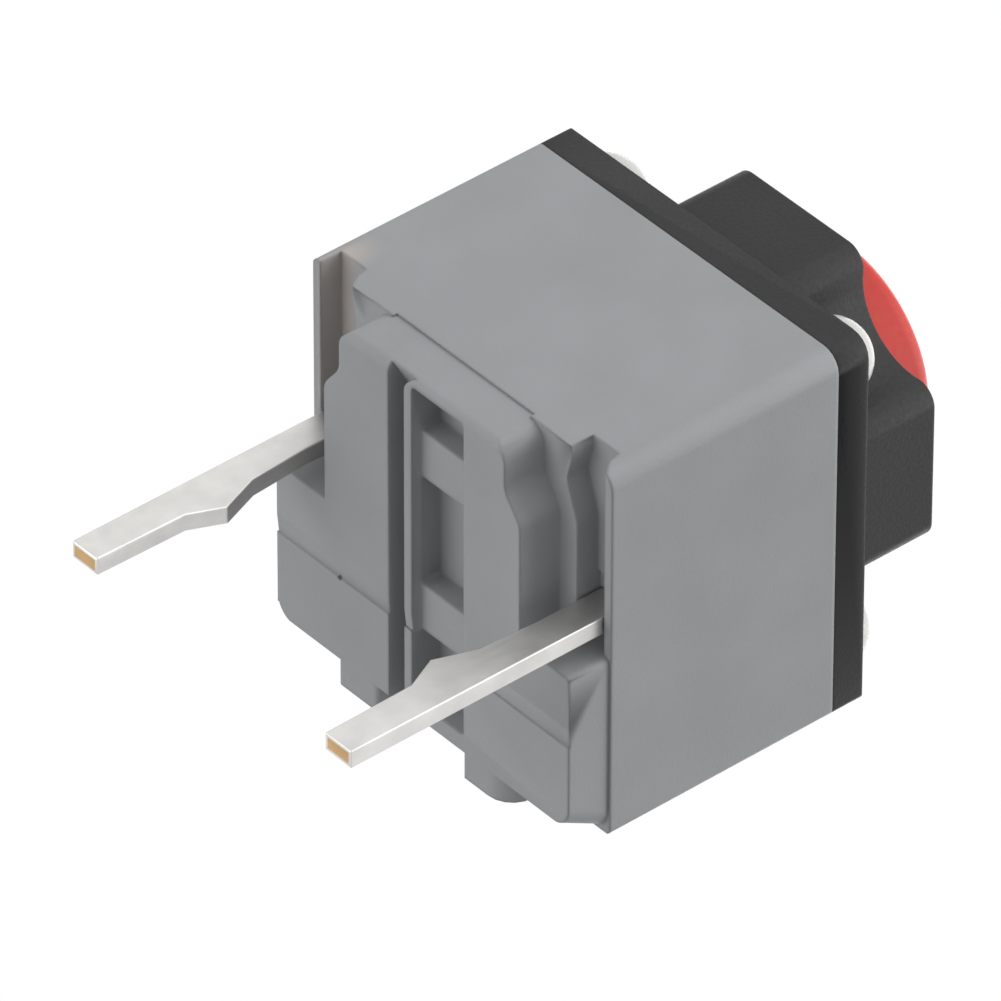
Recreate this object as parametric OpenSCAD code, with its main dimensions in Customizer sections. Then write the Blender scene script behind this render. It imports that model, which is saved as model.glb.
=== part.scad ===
// Square tactile push button switch, 6 mm across and 7.6 mm tall, with two flat pins.
// The origin is the centre of the face that stands on the circuit board, and the button points along +Z.
// The base is a moulded box, open at the top. A moulded frame stands in it, its pegs headed over the cover.
// The button presses a contact blade, which rocks on the left terminal down to the right one's contact.

/* [Housing] */
// Width of the square housing
body_w = 6; // [5.8:0.05:6.4]
// Height of the base's side walls
base_h = 3.86; // [3.8:0.02:4.6]
// Height of the foot blocks under the base's side walls
foot_h = 0.68; // [0.6:0.02:0.9]
// Thickness of the base's side walls
wall_t = 0.5; // [0.4:0.02:0.6]
// Thickness of the base's floor above the wall ends
floor_t = 0.82; // [0.7:0.02:1]
// Radius of the one rounded corner, which shows how the switch is turned
index_r = 0.3; // [0.15:0.05:0.5]
// Radius of the other three corners
corner_r = 0.08; // [0.04:0.02:0.14]

/* [Foot blocks] */
// Distance from the middle to a foot block's outer edge, beside the top of the channel
block_narrow = 1.66; // [1.5:0.02:1.8]
// The same distance below the flare
block_wide = 1.97; // [1.85:0.02:2.1]
// Distance from the rear face to the start of the flare
flare_start = 0.72; // [0.6:0.02:1.1]
// Length of the flare
flare_len = 0.4; // [0.2:0.05:0.6]
// How far the foot blocks stay inside the housing's sides
foot_inset = 0.04; // [0.02:0.01:0.08]
// How far the foot blocks stay inside the front face
foot_front = 0.42; // [0.3:0.02:0.6]
// How far the foot blocks stay inside the rear face
foot_rear = 0.03; // [0.02:0.01:0.06]
// Radius of the foot blocks' outer corners at the rear
block_r = 0.28; // [0.1:0.02:0.34]
// Radius of the two bends of the flare
flare_r = 0.34; // [0.1:0.02:0.4]
// Radius of the feet's outer corners at the front, along the slanted front face
foot_r = 0.3; // [0.1:0.02:0.34]
// Radius of the lower edge at the rear of the foot blocks
rear_edge_r = 0.14; // [0.05:0.01:0.2]
// Height of the crease above the wall ends, where the foot blocks meet the rear face
crease_up = 0.07; // [0.02:0.01:0.1]
// Radius of the inner corners where the blocks meet the lower feet
inner_r = 0.02; // [0.01:0.01:0.04]
// Distance from the rear face to the witness groove across the feet
witness_at = 4.2; // [3.8:0.1:4.6]
// Length of the slope that leads into the witness groove
witness_len = 0.3; // [0.2:0.02:0.4]
// Depth of the witness groove
witness_d = 0.03; // [0.02:0.01:0.06]
// Width of the groove between the two foot blocks
groove_w = 0.32; // [0.2:0.02:0.4]
// Distance from the middle to the groove's middle
groove_out = 0.51; // [0.45:0.01:0.6]
// Depth of the groove
groove_d = 0.35; // [0.2:0.05:0.5]
// Depth of the groove at its rear end, where it starts with a ramp
groove_start_d = 0.08; // [0.04:0.02:0.16]
// Length of the ramp at the groove's rear end
groove_ramp = 0.5; // [0.3:0.05:0.7]
// Width of the square lug at the left foot's front edge
square_lug_w = 0.82; // [0.6:0.02:1]
// Distance from the middle to the square lug's middle
square_lug_out = 1.31; // [1.2:0.02:1.5]
// Radius of the square lug's lower corners
square_lug_r = 0.08; // [0.04:0.02:0.16]
// Width of the round lug at the right foot's front edge
round_lug_w = 0.9; // [0.8:0.02:1]
// Distance from the middle to the round lug's middle
round_lug_out = 1.32; // [1.2:0.02:1.5]
// Radius of the round lug's outer corner, seen from the front
round_lug_r = 0.42; // [0.3:0.02:0.6]

/* [Pockets under the right foot] */
// Width of the lip between the groove and the pockets
lip_w = 0.15; // [0.1:0.01:0.2]
// Width of the row of pockets
pocket_w = 1.05; // [0.8:0.05:1.2]
// Thickness of the wall behind the first pocket
pocket_wall = 0.1; // [0.06:0.02:0.16]
// Depth of the rungs between the pockets, below the foot's face
rung_d = 0.16; // [0.1:0.02:0.24]
// Depth of the pockets, below the foot's face
pocket_d = 0.5; // [0.4:0.02:0.6]
// Length of the first pocket
pocket_1 = 0.78; // [0.6:0.02:0.9]
// Length of the middle pocket
pocket_2 = 1.8; // [1.6:0.05:2]
// Length of the last pocket
pocket_3 = 1.1; // [0.8:0.05:1.2]
// Width of each rung
rung_w = 0.75; // [0.6:0.05:0.9]
// Radius of the pockets' corners
pocket_r = 0.06; // [0.04:0.01:0.1]
// Radius of the lip's corner at the rear
lip_r = 0.25; // [0.15:0.02:0.28]

/* [Side channels] */
// Thickness of the side wall beside the channels
channel_wall = 0.14; // [0.1:0.02:0.18]
// Depth of the channels above the wall ends
channel_d = 0.36; // [0.24:0.02:0.4]
// Width of the channels' mouths in the rear face, at the wall ends
mouth_w = 0.66; // [0.6:0.02:0.7]
// Width of the mouths at the channels' roof
mouth_roof_w = 0.5; // [0.44:0.02:0.56]
// Length of the mouths, up to where the channels widen
mouth_len = 0.3; // [0.2:0.02:0.4]
// Width of the channels at their widest place
channel_wide = 0.76; // [0.72:0.01:0.8]
// Width of the rest of the channels
channel_w = 0.55; // [0.54:0.01:0.6]
// Distance from the rear face to the channels' widest place
channel_step = 0.6; // [0.5:0.05:0.8]
// Length over which the channels narrow
channel_taper = 0.6; // [0.4:0.05:0.8]
// Radius of the bends where the channels narrow
channel_bend_r = 0.25; // [0.1:0.01:0.3]
// Radius of the corners at the channels' front ends
channel_end_r = 0.04; // [0.02:0.01:0.06]
// Length of the channels in front of the pins
well_front = 0.33; // [0.2:0.01:0.5]
// Height of the well round each pin above the wall ends
well_d = 0.4; // [0.36:0.02:0.5]
// Length of the well behind the pin
well_back = 0.3; // [0.2:0.05:0.5]

/* [Cover] */
// Thickness of the cover plate
plate_t = 0.52; // [0.4:0.02:0.7]
// Height of the boss round the button
boss_h = 1.45; // [1.2:0.05:1.6]
// Distance from the cover plate's edge to the boss's flat sides
boss_in = 0.3; // [0.24:0.02:0.36]
// Radius of the notch round each peg head
notch_r = 1; // [0.9:0.02:1.06]
// Radius of the boss's rounded corners
boss_r = 0.3; // [0.2:0.02:0.36]
// Width of each locating tab under the cover plate
tab_w = 2.4; // [2:0.1:2.6]
// Thickness of the locating tabs
tab_t = 0.16; // [0.12:0.01:0.18]
// Height of the locating tabs
tab_h = 0.3; // [0.2:0.02:0.4]

/* [Button] */
// Radius of the button
button_r = 1.75; // [1.65:0.01:1.8]
// How far the button's crown stands above the boss
button_proud = 1.13; // [0.9:0.01:1.3]
// Height of the domed crown
crown_h = 0.3; // [0.2:0.02:0.5]
// How far the button travels
button_travel = 0.3; // [0.2:0.02:0.34]
// Running clearance round the button
button_clear = 0.05; // [0.03:0.01:0.06]
// Radius of the flange that holds the button in
flange_r = 2.15; // [2.1:0.01:2.18]
// Thickness of the flange
flange_t = 0.4; // [0.3:0.02:0.44]
// Radius of the spring's chamber inside the button
chamber_r = 1.42; // [1.36:0.01:1.46]
// Height of the spring's chamber above the flange
chamber_up = 0.9; // [0.7:0.05:1.1]
// Radius of the nib that presses the blade
nib_r = 0.45; // [0.36:0.01:0.5]
// Gap between the nib and the blade at rest
nib_clear = 0.03; // [0.02:0.01:0.05]
// Thickness of the damper ring
damper_t = 0.22; // [0.16:0.02:0.26]
// Width of the damper ring
damper_w = 0.3; // [0.2:0.01:0.34]

/* [Guide frame] */
// Distance from the housing's sides to the middle of each peg
peg_in = 0.75; // [0.7:0.01:0.8]
// Radius of the frame's columns
column_r = 0.45; // [0.4:0.01:0.48]
// Clearance round the columns in the base
column_fit = 0.03; // [0.02:0.01:0.04]
// Radius of the pegs that pass through the cover
peg_r = 0.34; // [0.28:0.01:0.36]
// Clearance round the pegs in the cover
peg_fit = 0.03; // [0.02:0.01:0.04]
// Radius of the pegs' heads
head_r = 0.62; // [0.5:0.01:0.66]
// Height of the pegs' heads
head_h = 0.6; // [0.5:0.02:0.62]
// Thickness of the frame's plate
frame_t = 0.3; // [0.24:0.02:0.36]
// Gap between the frame's plate and the blade under it
frame_gap = 0.23; // [0.16:0.01:0.26]
// Clearance round the frame's plate in the base
frame_fit = 0.05; // [0.03:0.01:0.08]
// Clearance round the nib in the frame
nib_fit = 0.1; // [0.06:0.01:0.12]
// Thickness of the collar that centres the spring
collar_t = 0.26; // [0.2:0.01:0.3]
// Height of the collar
collar_h = 0.2; // [0.14:0.02:0.24]
// Width of the ribs that stop the button
rib_w = 0.4; // [0.3:0.02:0.5]
// Distance from the middle to a rib's inner end
rib_in = 1.8; // [1.7:0.02:1.9]

/* [Spring] */
// Mean radius of the spring
spring_r = 1.1; // [1.06:0.01:1.14]
// Radius of the spring's wire
wire_r = 0.08; // [0.06:0.01:0.09]
// Number of turns, with one closed turn at each end
turns = 6; // [5:1:7]
// Gap between the wires of a closed turn
closed_gap = 0.02; // [0.01:0.01:0.04]

/* [Terminals] */
// Thickness of the terminals' sheet
sheet_t = 0.28; // [0.24:0.01:0.32]
// Clearance round the terminals in the base
sheet_fit = 0.01; // [0.005:0.005:0.02]
// Length of the pins below the board face
pin_len = 3.55; // [3:0.05:4]
// Width of a pin where it leaves the base
pin_w = 0.49; // [0.44:0.01:0.5]
// Width of a pin at its tip
pin_tip_w = 0.52; // [0.4:0.02:0.56]
// Width of a pin at its shoulder, which stops it in the board
pin_shoulder_w = 0.78; // [0.7:0.02:0.84]
// Depth of the shoulder's widest place below the board face
shoulder_at = 1.57; // [1.4:0.01:1.7]
// Length of the slope above the shoulder
shoulder_rise = 0.62; // [0.5:0.02:0.7]
// Length of the slope below the shoulder
shoulder_fall = 0.52; // [0.4:0.02:0.6]
// How far the pin is widened at the upper end of the shoulder's slope
shoulder_top_w = 0.06; // [0.04:0.01:0.1]
// How far the pin is widened at the lower end of the shoulder's slope
shoulder_foot_w = 0.04; // [0.02:0.01:0.06]
// Distance from the middle to the pins' rear face
pin_rear = 0.56; // [0.5:0.01:0.6]
// Width of the terminals' pads on the floor
pad_w = 1.2; // [1.1:0.05:1.3]
// How far the pads run inwards past the tab or the contact
pad_end = 0.42; // [0.36:0.02:0.5]
// Thickness of the tab that carries the blade
tab_sheet = 0.2; // [0.16:0.01:0.22]
// Radius of the bead on which the blade rocks
bead_r = 0.15; // [0.13:0.01:0.17]

/* [Contacts] */
// Distance from the middle to the bead on which the blade rocks
pivot_out = 2.1; // [2.04:0.01:2.14]
// Distance from the middle to the contacts
contact_out = 1.4; // [1.3:0.02:1.5]
// Radius of the contacts' heads
contact_r = 0.28; // [0.24:0.01:0.32]
// Thickness of the fixed contact's head
fixed_t = 0.1; // [0.08:0.01:0.12]
// Thickness of the moving contact's head
moving_t = 0.15; // [0.12:0.01:0.18]
// Radius of the contacts' shanks
shank_r = 0.12; // [0.1:0.01:0.14]
// Gap left between the contacts when the button is down
contact_clear = 0.03; // [0.02:0.01:0.05]
// Width of the blade
blade_w = 0.9; // [0.8:0.02:1]
// Thickness of the blade
blade_t = 0.1; // [0.08:0.01:0.12]
// Clearance round the bead in the blade's eye
pivot_clear = 0.03; // [0.02:0.01:0.04]
// How far the blade's eye wraps round the bead
eye_wrap = 125; // [110:5:130]
// Width of the slot that makes the blade limber
slot_w = 0.3; // [0.2:0.02:0.4]
// Length of the slot between its round ends' middles
slot_len = 0.7; // [0.5:0.05:0.8]
// Distance from the middle to the slot's inner end
slot_out = 0.75; // [0.65:0.05:0.85]
// Thickness of the moving contact's formed head above the blade
formed_t = 0.06; // [0.04:0.01:0.1]

/* [Hidden] */
$fn = 64;
// Small overlap of cutting shapes past the faces that they cut
over = 0.1;
// Gap between flat faces that seat on each other
seat = 0.01;
half_w = body_w / 2;
wall_z = foot_h;
floor_z = wall_z + floor_t;
base_top = wall_z + base_h;
plate_top = base_top + plate_t;
boss_top = plate_top + boss_h;
cavity = half_w - wall_t;
peg_at = half_w - peg_in;
boss_half = half_w - boss_in;
bore_r = button_r + button_clear;

// The blade swings so that its top keeps pace with the nib, whose gap stays the same
swing = button_travel / pivot_out * 180 / PI;
contact_reach = pivot_out + contact_out + contact_r;
contact_under = floor_z + fixed_t + contact_clear + contact_reach * sin(swing);
blade_under = contact_under + moving_t;
blade_top = blade_under + blade_t;
eye_r = bead_r + pivot_clear;
pivot_z = blade_under - eye_r;
frame_under = blade_top + frame_gap;
frame_top = frame_under + frame_t;
nib_tip = blade_top + nib_clear;

flange_top = base_top - damper_t - 2 * seat;
flange_under = flange_top - flange_t;
stop_top = flange_under - button_travel - 2 * seat;
chamber_top = flange_top + chamber_up;
crown_r = (button_r * button_r + crown_h * crown_h) / (2 * crown_h);
crown_top = boss_top + button_proud;

pad_front = pad_w - pin_rear;
pad_low = floor_z - sheet_t;
rear = -half_w;
flare_from = rear + flare_start;
witness_y = rear + witness_at;
foot_edge = half_w - foot_front;
foot_out = half_w - foot_inset;
channel_out = half_w - channel_wall;
channel_len = half_w - pin_rear + sheet_t + well_front;
pin_out = channel_out - (channel_w - pin_w) / 2;
left_edge = -(groove_out + groove_w / 2);
right_edge = left_edge + groove_w;
pocket_left = right_edge + lip_w;
pocket_rear = rear + foot_rear + pocket_wall;

grey = [0.56, 0.57, 0.58];
black = [0.16, 0.16, 0.16];
white = [0.93, 0.93, 0.91];
red = [0.86, 0.2, 0.2];
tin = [0.85, 0.85, 0.83];
silver = [0.9, 0.9, 0.92];
bronze = [0.78, 0.58, 0.36];
rubber = [0.8, 0.82, 0.82];

// Points of an arc that rounds the corner b between a and c
function corner_arc(a, b, c, r, n = 5) =
    let (u = (a - b) / norm(a - b),
         v = (c - b) / norm(c - b),
         half = acos(u * v) / 2,
         p = b + u * r / tan(half),
         q = b + v * r / tan(half),
         m = b + (u + v) / norm(u + v) * r / sin(half),
         from = atan2(p.y - m.y, p.x - m.x),
         to = atan2(q.y - m.y, q.x - m.x),
         turn = (to - from + 540) % 360 - 180)
    [for (i = [0:n]) m + r * [cos(from + turn * i / n), sin(from + turn * i / n)]];

// A closed outline given as [x, y, corner radius], with each corner that has a radius rounded
function rounded(outline) =
    [for (i = [0:len(outline) - 1])
        let (n = len(outline),
             a = outline[(i + n - 1) % n],
             b = outline[i],
             c = outline[(i + 1) % n])
        each b.z > 0 ? corner_arc([a.x, a.y], [b.x, b.y], [c.x, c.y], b.z) : [[b.x, b.y]]];

// The housing's square, with one corner rounded more than the other three
function housing_outline(w) =
    rounded([[w, -w, index_r], [w, w, corner_r], [-w, w, corner_r], [-w, -w, corner_r]]);

// One foot block, seen from above: side is 1 on the right and -1 on the left, and inner is its edge at the groove
function foot_outline(side, inner, inner_rear_r) =
    rounded([[inner, rear + foot_rear, inner_rear_r],
             [side * block_narrow, rear + foot_rear, block_r],
             [side * block_narrow, flare_from, flare_r],
             [side * block_wide, flare_from + flare_len, flare_r],
             [side * block_wide, rear + channel_len, inner_r],
             [side * foot_out, rear + channel_len, corner_r],
             [side * foot_out, half_w - foot_inset, 0],
             [inner, half_w - foot_inset, 0]]);

// The feet, seen from the side: a round lower edge at the rear, and a front face that slants out to the wall
function foot_profile() =
    rounded([[rear + foot_rear, 0, rear_edge_r],
             [foot_edge, 0, inner_r],
             [foot_out, wall_z, 0],
             [foot_out, wall_z + over, 0],
             [rear + foot_rear, wall_z + over, 0]]);

// The groove's floor between the foot blocks, seen from the side, with the ramp at its rear end
function groove_profile() =
    [[rear + foot_rear, groove_start_d], [rear + foot_rear + groove_ramp, groove_d], [foot_out, groove_d],
     [foot_out, wall_z + over], [rear + foot_rear, wall_z + over]];

// The channel beside a foot block, from its mouth to the pin
function channel_outline(side) =
    rounded([[side * channel_out, rear + mouth_len - over, 0],
             [side * (channel_out - mouth_w), rear + mouth_len - over, 0],
             [side * (channel_out - channel_wide), rear + channel_step, channel_bend_r],
             [side * (channel_out - channel_w), rear + channel_step + channel_taper, channel_bend_r],
             [side * (channel_out - channel_w), rear + channel_len, channel_end_r],
             [side * channel_out, rear + channel_len, channel_end_r]]);

// A channel's mouth, seen from the rear: one side is upright, and the one on the right leans
function mouth_outline(left) =
    [[left, wall_z - over], [left, wall_z + channel_d], [left + mouth_roof_w, wall_z + channel_d],
     [left + mouth_roof_w + 0.2 * (mouth_w - mouth_roof_w), wall_z + channel_d / 2],
     [left + mouth_w, wall_z], [left + mouth_w, wall_z - over]];

// The pin in its own flat sheet: distance from the middle, then height
function pin_outline() =
    [[pin_out, pad_low],
     [pin_out, -pin_len],
     [pin_out - pin_tip_w, -pin_len],
     [pin_out - (pin_tip_w + pin_w) / 2 - shoulder_foot_w, -shoulder_at - shoulder_fall],
     [pin_out - pin_shoulder_w, -shoulder_at],
     [pin_out - pin_w - shoulder_top_w, -shoulder_at + shoulder_rise],
     [pin_out - pin_w, 0],
     [pin_out - pin_w, pad_low]];

module at_pegs() {
    for (x = [-1, 1], y = [-1, 1])
        translate([x * peg_at, y * peg_at, 0])
            children();
}

// Base: side walls, foot blocks, lugs, channels, pockets and the seats for what stands inside
module along_x(width) {
    translate([-width / 2, 0, 0])
        rotate([90, 0, 90])
            linear_extrude(width)
                children();
}

// The round of a foot's outer corner runs up along the slanted front face
module corner_cut(side) {
    lean = atan((foot_out - foot_edge) / wall_z);
    translate([side * foot_out, foot_edge, 0])
        rotate([-lean, 0, 0])
            translate([0, 0, -over])
                linear_extrude(wall_z / cos(lean) + 2 * over)
                    difference() {
                        translate([side > 0 ? -foot_r : -over, -foot_r])
                            square(foot_r + over);
                        translate([-side * foot_r, -foot_r])
                            circle(r = foot_r);
                    }
}

module feet() {
    difference() {
        intersection() {
            union() {
                linear_extrude(wall_z + over)
                    polygon(foot_outline(-1, left_edge, corner_r));
                linear_extrude(wall_z + over)
                    polygon(foot_outline(1, right_edge, lip_r));
                translate([(left_edge + right_edge) / 2, 0, 0])
                    along_x(groove_w + 2 * lip_r)
                        polygon(groove_profile());
            }
            along_x(body_w)
                polygon(foot_profile());
        }
        corner_cut(-1);
        corner_cut(1);
    }
}

module round_lug() {
    left = round_lug_out - round_lug_w / 2;
    right = round_lug_out + round_lug_w / 2;
    translate([0, half_w, 0])
        rotate([90, 0, 0])
            linear_extrude(foot_front + over)
                polygon(rounded([[left, 0, 0],
                                 [right, 0, round_lug_r],
                                 [right, wall_z + over, 0],
                                 [left, wall_z + over, 0]]));
}

module square_lug() {
    translate([0, half_w, 0])
        rotate([90, 0, 0])
            linear_extrude(foot_front + over)
                polygon(rounded([[-square_lug_out - square_lug_w / 2, 0, square_lug_r],
                                 [-square_lug_out + square_lug_w / 2, 0, square_lug_r],
                                 [-square_lug_out + square_lug_w / 2, wall_z + over, 0],
                                 [-square_lug_out - square_lug_w / 2, wall_z + over, 0]]));
}

module witness_groove() {
    along_x(body_w)
        polygon([[witness_y - witness_len, 0], [witness_y, witness_d], [witness_y, -over],
                 [witness_y - witness_len, -over]]);
}

module pocket(from, length, depth) {
    translate([0, 0, -over])
        linear_extrude(depth + over)
            polygon(rounded([[pocket_left, from, pocket_r],
                             [pocket_left + pocket_w, from, pocket_r],
                             [pocket_left + pocket_w, from + length, pocket_r],
                             [pocket_left, from + length, pocket_r]]));
}

module pocket_row() {
    second = pocket_rear + pocket_1 + rung_w;
    third = second + pocket_2 + rung_w;
    pocket(pocket_rear, third + pocket_3 - pocket_rear, rung_d);
    pocket(pocket_rear, pocket_1, pocket_d);
    pocket(second, pocket_2, pocket_d);
    pocket(third, pocket_3, pocket_d);
}

module side_channel(side) {
    translate([0, 0, wall_z - over])
        linear_extrude(channel_d + over)
            polygon(channel_outline(side));
    translate([0, rear + mouth_len, 0])
        rotate([90, 0, 0])
            linear_extrude(mouth_len + over)
                polygon(mouth_outline(side > 0 ? channel_out - mouth_w : -channel_out));
    translate([side > 0 ? channel_out - channel_w : -channel_out, -pin_rear - well_back, wall_z - over])
        cube([channel_w, rear + channel_len + pin_rear + well_back, well_d + over]);
}

module terminal_seat(side, pad_in) {
    grow = sheet_fit;
    low = side > 0 ? pad_in - grow : -pin_out - grow;
    translate([low, -pin_rear - grow, pad_low - grow])
        cube([pin_out - pad_in + 2 * grow, pad_w + 2 * grow, sheet_t + 2 * grow]);
    translate([side > 0 ? pin_out - pin_w - grow : -pin_out - grow, -pin_rear - grow, wall_z])
        cube([pin_w + 2 * grow, sheet_t + 2 * grow, floor_t]);
}

module base() {
    color(grey)
        difference() {
            union() {
                translate([0, 0, wall_z])
                    linear_extrude(base_h)
                        polygon(housing_outline(half_w));
                feet();
                square_lug();
                round_lug();
            }
            translate([-block_narrow + block_r, rear - over, wall_z - over])
                cube([2 * block_narrow - 2 * block_r, foot_rear + over, crease_up + over]);
            translate([-cavity, -cavity, floor_z])
                cube([2 * cavity, 2 * cavity, base_h]);
            translate([0, 0, floor_z])
                at_pegs()
                    cylinder(r = column_r + column_fit, h = base_h);
            witness_groove();
            pocket_row();
            side_channel(-1);
            side_channel(1);
            terminal_seat(-1, pivot_out - pad_end);
            terminal_seat(1, contact_out - pad_end);
        }
}

// Cover: plate, boss with a notch round each peg head, button bore, peg holes and locating tabs
module boss() {
    corner_x = boss_half - boss_r;
    reach = notch_r + boss_r;
    corner_y = peg_at - sqrt(reach * reach - (corner_x - peg_at) * (corner_x - peg_at));
    tangent = corner_x + (peg_at - corner_x) * boss_r / reach;
    difference() {
        union() {
            for (turned = [0, 90])
                rotate(turned) {
                    translate([-boss_half, -corner_y, 0])
                        cube([2 * boss_half, 2 * corner_y, boss_h]);
                    for (x = [-1, 1], y = [-1, 1])
                        translate([x * corner_x, y * corner_y, 0])
                            cylinder(r = boss_r, h = boss_h);
                }
            translate([-tangent, -tangent, 0])
                cube([2 * tangent, 2 * tangent, boss_h]);
        }
        translate([0, 0, -over])
            at_pegs()
                cylinder(r = notch_r, h = boss_h + 2 * over);
    }
}

module cover() {
    color(black)
        difference() {
            union() {
                translate([0, 0, base_top])
                    linear_extrude(plate_t)
                        polygon(housing_outline(half_w));
                translate([0, 0, plate_top])
                    boss();
                for (turned = [0:90:270])
                    rotate(turned)
                        translate([-tab_w / 2, cavity - frame_fit - tab_t, base_top - tab_h])
                            cube([tab_w, tab_t, tab_h + over]);
            }
            translate([0, 0, base_top - tab_h - over])
                cylinder(r = bore_r, h = boss_top);
            translate([0, 0, base_top - over])
                at_pegs()
                    cylinder(r = peg_r + peg_fit, h = plate_t + 2 * over);
        }
}

// Guide frame: plate, columns, spring collar, stop ribs and pegs with their formed heads
module peg_head() {
    sphere_r = (head_r * head_r + head_h * head_h) / (2 * head_h);
    difference() {
        translate([0, 0, head_h - sphere_r])
            sphere(r = sphere_r);
        translate([-2 * head_r, -2 * head_r, -4 * head_r])
            cube([4 * head_r, 4 * head_r, 4 * head_r]);
    }
}

module guide_frame() {
    side = cavity - frame_fit;
    color(white)
        difference() {
            union() {
                translate([-side, -side, frame_under])
                    cube([2 * side, 2 * side, frame_t]);
                translate([0, 0, frame_under])
                    cylinder(r = nib_r + nib_fit + collar_t, h = frame_t + collar_h);
                translate([0, 0, floor_z + seat])
                    at_pegs()
                        cylinder(r = column_r, h = base_top - floor_z - 2 * seat);
                for (turned = [45:90:315])
                    rotate(turned)
                        translate([rib_in, -rib_w / 2, frame_under])
                            cube([norm([peg_at, peg_at]) - rib_in, rib_w, stop_top - frame_under]);
                translate([0, 0, floor_z + base_h / 2])
                    at_pegs()
                        cylinder(r = peg_r, h = plate_top + seat + over - floor_z - base_h / 2);
                translate([0, 0, plate_top + seat])
                    at_pegs()
                        peg_head();
            }
            translate([0, 0, frame_under - over])
                cylinder(r = nib_r + nib_fit, h = frame_t + collar_h + 2 * over);
        }
}

// Button: domed crown, flange, spring chamber and the nib that presses the blade
module button() {
    stem_top = crown_top - crown_h;
    color(red)
        difference() {
            union() {
                translate([0, 0, flange_under])
                    cylinder(r = flange_r, h = flange_t);
                translate([0, 0, flange_under])
                    cylinder(r = button_r, h = stem_top - flange_under);
                intersection() {
                    translate([0, 0, crown_top - crown_r])
                        sphere(r = crown_r);
                    translate([0, 0, stem_top - over])
                        cylinder(r = button_r, h = crown_h + 2 * over);
                }
                translate([0, 0, nib_tip + nib_r])
                    cylinder(r = nib_r, h = chamber_top - nib_tip);
                translate([0, 0, nib_tip + nib_r])
                    sphere(r = nib_r);
            }
            difference() {
                translate([0, 0, flange_under - over])
                    cylinder(r = chamber_r, h = chamber_top - flange_under + over);
                translate([0, 0, flange_under - 2 * over])
                    cylinder(r = nib_r, h = chamber_top - flange_under + 4 * over);
            }
        }
}

// Damper: a soft ring on the flange, which lands on the cover when the button comes back
module damper_ring() {
    inner = bore_r;
    color(rubber)
        translate([0, 0, flange_top + seat])
            difference() {
                cylinder(r = inner + damper_w, h = damper_t);
                translate([0, 0, -over])
                    cylinder(r = inner, h = damper_t + 2 * over);
            }
}

// Spring: a helix with one closed turn at each end, swept from its wire's round section
function coil_z(turn, length) =
    let (closed = 2 * wire_r + closed_gap,
         open = (length - 2 * wire_r - 2 * closed) / (turns - 2))
    wire_r + (turn < 1 ? turn * closed
        : turn > turns - 1 ? length - 2 * wire_r - (turns - turn) * closed
        : closed + (turn - 1) * open);

module return_spring() {
    low = frame_top + seat;
    length = chamber_top - low - seat;
    steps = 20;
    sides = 8;
    last = turns * steps;
    ring_points = [for (i = [0:last], k = [0:sides - 1])
        let (turn = i / steps,
             out = spring_r + wire_r * cos(360 * k / sides))
        [out * cos(360 * turn), out * sin(360 * turn), low + coil_z(turn, length) + wire_r * sin(360 * k / sides)]];
    side_faces = [for (i = [0:last - 1], k = [0:sides - 1])
        let (next = (k + 1) % sides)
        [i * sides + k, i * sides + next, (i + 1) * sides + next, (i + 1) * sides + k]];
    start_face = [for (k = [sides - 1:-1:0]) k];
    end_face = [for (k = [0:sides - 1]) last * sides + k];
    color(silver)
        polyhedron(points = ring_points, faces = concat(side_faces, [start_face], [end_face]));
}

// Terminals: a pad on the floor and a pin folded down from its rear edge
module terminal_sheet(pad_in) {
    fold_y = sheet_t - pin_rear;
    translate([pad_in, fold_y, pad_low])
        cube([pin_out - pad_in, pad_front - fold_y, sheet_t]);
    translate([pad_in, -pin_rear, pad_low])
        cube([pin_out - pin_w - pad_in - 2 * sheet_fit, 2 * sheet_t, sheet_t]);
    translate([0, fold_y, 0])
        rotate([90, 0, 0])
            linear_extrude(sheet_t)
                polygon(pin_outline());
    translate([pin_out - pin_w, fold_y, pad_low])
        intersection() {
            rotate([0, 90, 0])
                cylinder(r = sheet_t, h = pin_w);
            translate([0, -sheet_t, 0])
                cube([pin_w, sheet_t, sheet_t]);
        }
}

module left_terminal() {
    color(tin)
        mirror([1, 0, 0]) {
            terminal_sheet(pivot_out - pad_end);
            translate([pivot_out - tab_sheet / 2, -pin_rear, pad_low])
                cube([tab_sheet, pad_w, pivot_z - pad_low]);
            translate([pivot_out, pad_front, pivot_z])
                rotate([90, 0, 0])
                    cylinder(r = bead_r, h = pad_w);
        }
}

module right_terminal() {
    color(tin)
        difference() {
            terminal_sheet(contact_out - pad_end);
            translate([contact_out, 0, pad_low - over])
                cylinder(r = shank_r + sheet_fit, h = sheet_t + 2 * over);
        }
}

// Fixed contact: a rivet in the right terminal's pad
module fixed_contact() {
    color(silver)
        translate([contact_out, 0, 0]) {
            translate([0, 0, pad_low + seat])
                cylinder(r = shank_r, h = sheet_t);
            translate([0, 0, floor_z + seat / 2])
                cylinder(r = contact_r, h = fixed_t - seat / 2);
        }
}

// Contact blade: a limber strip whose eye rocks on the left terminal's bead
module blade_eye() {
    translate([-pivot_out, blade_w / 2, pivot_z])
        rotate([90, 0, 0])
            rotate(90)
                rotate_extrude(angle = eye_wrap)
                    translate([eye_r, 0])
                        square([blade_t, blade_w]);
}

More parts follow.
